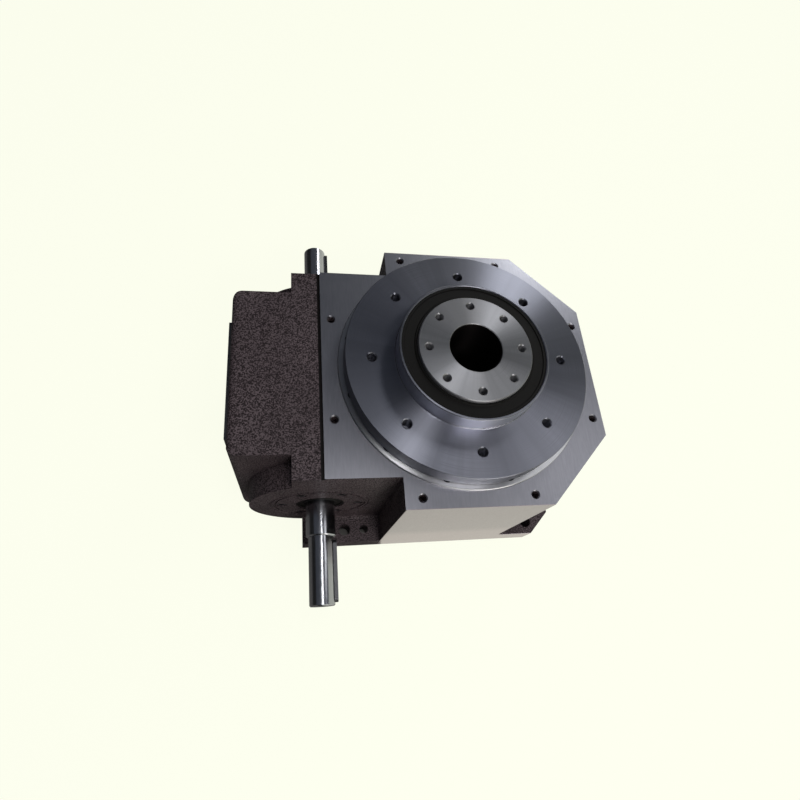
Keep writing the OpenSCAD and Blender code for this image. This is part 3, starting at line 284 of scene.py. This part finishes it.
def housing_material():
    """Painted casting whose machined faces are bare."""
    g = Graph("painted_casting")
    split, facing = g.place()
    x, y, z = (split.outputs[axis] for axis in "XYZ")
    upward = g.math("GREATER_THAN", facing.outputs["Z"], FLAT)
    top = g.math("MULTIPLY", g.math("GREATER_THAN", z, TOP_FACE_Z), upward)
    bored = g.math("LESS_THAN", radius_from_axis(g, split), MAIN_BORE_R)
    end_face = g.math("GREATER_THAN", g.math("ABSOLUTE", y), END_FACE_Y)
    front = g.math("MULTIPLY", end_face, g.math("GREATER_THAN", x, FRONT_FACE_X))
    underside = g.math("LESS_THAN", z, UNDERSIDE_Z)
    bare = top
    for machined in (bored, front, underside):
        bare = g.math("MAXIMUM", bare, machined)
    colour, paint_rough, blobs = hammertone(g)
    lines = g.noise(240.0, 3.0, 0.6, stretch=(12.0, 1.0, 1.0))
    mill = g.ramp(g.noise(70.0, 4.0, 0.6, stretch=(9.0, 1.0, 1.0)), 0.0, 1.0, 0.3, 0.7)
    cloud = g.blend(0.35, g.ramp(g.noise(9.0, 3.0), 0.0, 1.0, 0.3, 0.7), mill)
    # Painted reflection on the front faces: a warmer copy of the iron that grows lighter and pinker
    # toward the bottom
    low = g.ramp(z, 1.0, 0.0, *LOW_SHEEN_Z)
    metal = g.mix(front, g.mix(cloud, IRON_DARK, IRON), g.mix(low, IRON_FRONT_SHEEN, IRON_LOW_SHEEN))
    # Painted shade: the paint turns near black along the machined step, whose side lies in shade
    at_step = g.math("MULTIPLY", g.within(x, *STEP_X), g.math("GREATER_THAN", z, PAINTED_Z))
    g.to("Base Color", g.mix(bare, g.mix(at_step, colour, PAINTED_STEP_SHADE), metal))
    g.to("Metallic", bare)
    g.to("Roughness", g.blend(bare, paint_rough, g.ramp(lines, 0.30, 0.40, 0.3, 0.7)))
    g.set(Specular_IOR_Level=PAINT_SHINE)
    g.bump(g.blend(bare, blobs, g.math("MULTIPLY", lines, 0.03)), 0.4, 0.0004)
    return g.material


def painted(name):
    g = Graph(name)
    colour, rough, blobs = hammertone(g)
    g.to("Base Color", colour)
    g.to("Roughness", rough)
    g.set(Specular_IOR_Level=PAINT_SHINE)
    g.bump(blobs, 0.4, 0.0004)
    return g.material


def glass(name):
    g = Graph(name)
    g.set(Roughness=0.05, Transmission_Weight=0.85, Base_Color=(0.80, 0.86, 0.78), IOR=1.5)
    g.bump(g.noise(90.0, 2.0), 0.03, 0.0002)
    return g.material


bearing = polished("bearing_steel", (0.60, 0.61, 0.63), 0.18)
dark_steel = plain("dark_steel", (0.085, 0.085, 0.09), 0.40, 900.0, 0.05, 1.0)
rubber = plain("seal_rubber", (0.006, 0.0055, 0.005), 0.60, shine=0.12)
brass = plain("brass", (0.50, 0.36, 0.14), 0.30, 700.0, 0.05, 1.0)

groups = {
    "front_bearing_rollers rear_bearing_rollers main_bearing_rollers lower_bearing_balls": bearing,
    "front_bearing_outer_ring rear_bearing_outer_ring main_bearing_outer_ring": bearing,
    "front_bearing_inner_ring rear_bearing_inner_ring main_bearing_inner_ring": bearing,
    "lower_bearing_outer_ring lower_bearing_inner_ring": bearing,
    " ".join(f"follower_roller_{i}" for i in range(1, 9)): bearing,
    "side_cover side_cover_screws cam_key cam_locknut turret_screws": dark_steel,
    "follower_grub_screws retainer_screws_set post_screws oil_drain_plug": dark_steel,
    "front_cap_screws rear_cap_screws front_shaft_key rear_shaft_key": dark_steel,
    "front_shaft_seal rear_shaft_seal table_lower_seal post_o_ring post_seal": rubber,
    "side_cover_gasket": plain("gasket", (0.05, 0.07, 0.06), 0.7),
    "front_cap_shim rear_cap_shim lower_bearing_cage oil_filler_plug": brass,
    "input_shaft follower_pins sight_glass_ring cam": polished("ground_steel", STEEL, 0.20),
    "output_table": turned("machined_table", DISC, 0.32, collar=2.3),
    "bearing_retainer": turned("machined_ring", RING, 0.30),
    "centre_post": turned("machined_post", POST, 0.40),
    "turret": turned("machined_turret", IRON_DARK, 0.38),
    "front_bearing_cap rear_bearing_cap": painted("painted_cap"),
    "housing": housing_material(),
    "sight_glass_lens": glass("lens"),
}
for names, material in groups.items():
    dress(names.split(), material)


# ---------------------------------------------------------------- floor and light
def backdrop_material():
    """Plain pale to the camera, and a soft grey to everything that it lights."""
    g = Graph("backdrop")
    output = g.tree.nodes["Material Output"]
    path = g.add("ShaderNodeLightPath")
    split, _ = g.place()
    off_x = g.math("ABSOLUTE", g.math("SUBTRACT", split.outputs["X"], FOOT_MID_X))
    off_y = g.math("ABSOLUTE", split.outputs["Y"])
    beside_x = g.math("GREATER_THAN", off_x, FOOT_HALF_X)
    beside_y = g.math("GREATER_THAN", off_y, FOOT_HALF_Y)
    past_corner = g.math("GREATER_THAN", g.math("ADD", split.outputs["X"], off_y), FOOT_CORNER)
    # Painted shadow: the floor's glow stops inside the foot's outline, so there the floor shows its
    # own lit shade
    clear = g.math("MAXIMUM", g.math("MAXIMUM", beside_x, beside_y), past_corner)
    seen = g.add("ShaderNodeEmission")
    seen.inputs["Color"].default_value = (*BACKGROUND, 1.0)
    seen.inputs["Strength"].default_value = GLOW
    choose = g.add("ShaderNodeMixShader")
    # Painted shade: left of the tower the floor gives mirrored rays no glow, standing in for the
    # shadow under the overhang, which the turned metal shows
    lit = g.math("GREATER_THAN", split.outputs["X"], PAINTED_SHADE_LEFT_X)
    mirrored = g.math("MAXIMUM", path.outputs["Is Glossy Ray"], path.outputs["Is Transmission Ray"])
    mirrored = g.math("MULTIPLY", mirrored, lit)
    looked_at = g.math("MAXIMUM", path.outputs["Is Camera Ray"], mirrored)
    # The rest of what the camera sees is the lit floor itself, which keeps the shadow
    looked_at = g.math("MULTIPLY", looked_at, GLOW_SHARE)
    g.link(g.math("MULTIPLY", looked_at, clear), choose.inputs[0])
    g.set(Base_Color=FLOOR_GREY, Roughness=0.9)
    g.link(g.shader.outputs[0], choose.inputs[1])
    g.link(seen.outputs[0], choose.inputs[2])
    g.link(choose.outputs[0], output.inputs["Surface"])
    return g.material


def make_studio():
    """A round floor that turns up into a low wall, far outside every view's lamps."""
    rings = [(FLOOR_R, 0.0)]
    for step in range(1, CURVE_STEPS + 1):
        angle = math.pi / 2 * step / CURVE_STEPS
        rings.append((FLOOR_R + WALL_R * math.sin(angle), WALL_R * (1 - math.cos(angle))))
    rings.append((FLOOR_R + WALL_R, WALL_TOP))
    count = ROUND_STEPS
    points = [(0.0, 0.0, FLOOR_Z)]
    for radius, height in rings:
        for step in range(count):
            angle = 2 * math.pi * step / count
            points.append((radius * math.cos(angle), radius * math.sin(angle), FLOOR_Z + height))
    faces = [(0, 1 + step, 1 + (step + 1) % count) for step in range(count)]
    for ring in range(len(rings) - 1):
        low = 1 + ring * count
        for step in range(count):
            after = (step + 1) % count
            faces.append((low + step, low + count + step, low + count + after, low + after))
    mesh = bpy.data.meshes.new("studio")
    mesh.from_pydata(points, [], faces)
    for polygon in mesh.polygons:
        polygon.use_smooth = True
    studio = bpy.data.objects.new("studio", mesh)
    scene.collection.objects.link(studio)
    mesh.materials.append(backdrop_material())


def area_light(name, place, target, size, power, colour):
    light = bpy.data.lights.new(name, "AREA")
    light.shape = "RECTANGLE"
    light.size, light.size_y = size
    light.energy = power
    light.color = colour
    lamp = bpy.data.objects.new(name, light)
    scene.collection.objects.link(lamp)
    lamp.location = place
    aim = Vector(target) - Vector(place)
    lamp.rotation_euler = aim.to_track_quat("-Z", "Y").to_euler()


def make_world():
    world = bpy.data.worlds.new("studio")
    scene.world = world
    world.use_nodes = True
    base = world.node_tree.nodes["Background"]
    base.inputs["Color"].default_value = (*SKY, 1.0)
    base.inputs["Strength"].default_value = SKY_STRENGTH


make_studio()
make_world()
for lamp_name, settings in LAMPS.items():
    area_light(lamp_name, *settings)

# ---------------------------------------------------------------- camera
camera_data = bpy.data.cameras.new("camera")
camera_data.sensor_width = SENSOR
camera_data.lens = LENS
camera_data.shift_x, camera_data.shift_y = CAMERA_SHIFT
camera_data.clip_start = 0.01
camera = bpy.data.objects.new("camera", camera_data)
scene.collection.objects.link(camera)
camera.location = CAMERA_PLACE
camera.rotation_euler = [math.radians(angle) for angle in CAMERA_TURN]
scene.camera = camera
scene.view_settings.view_transform = "Standard"
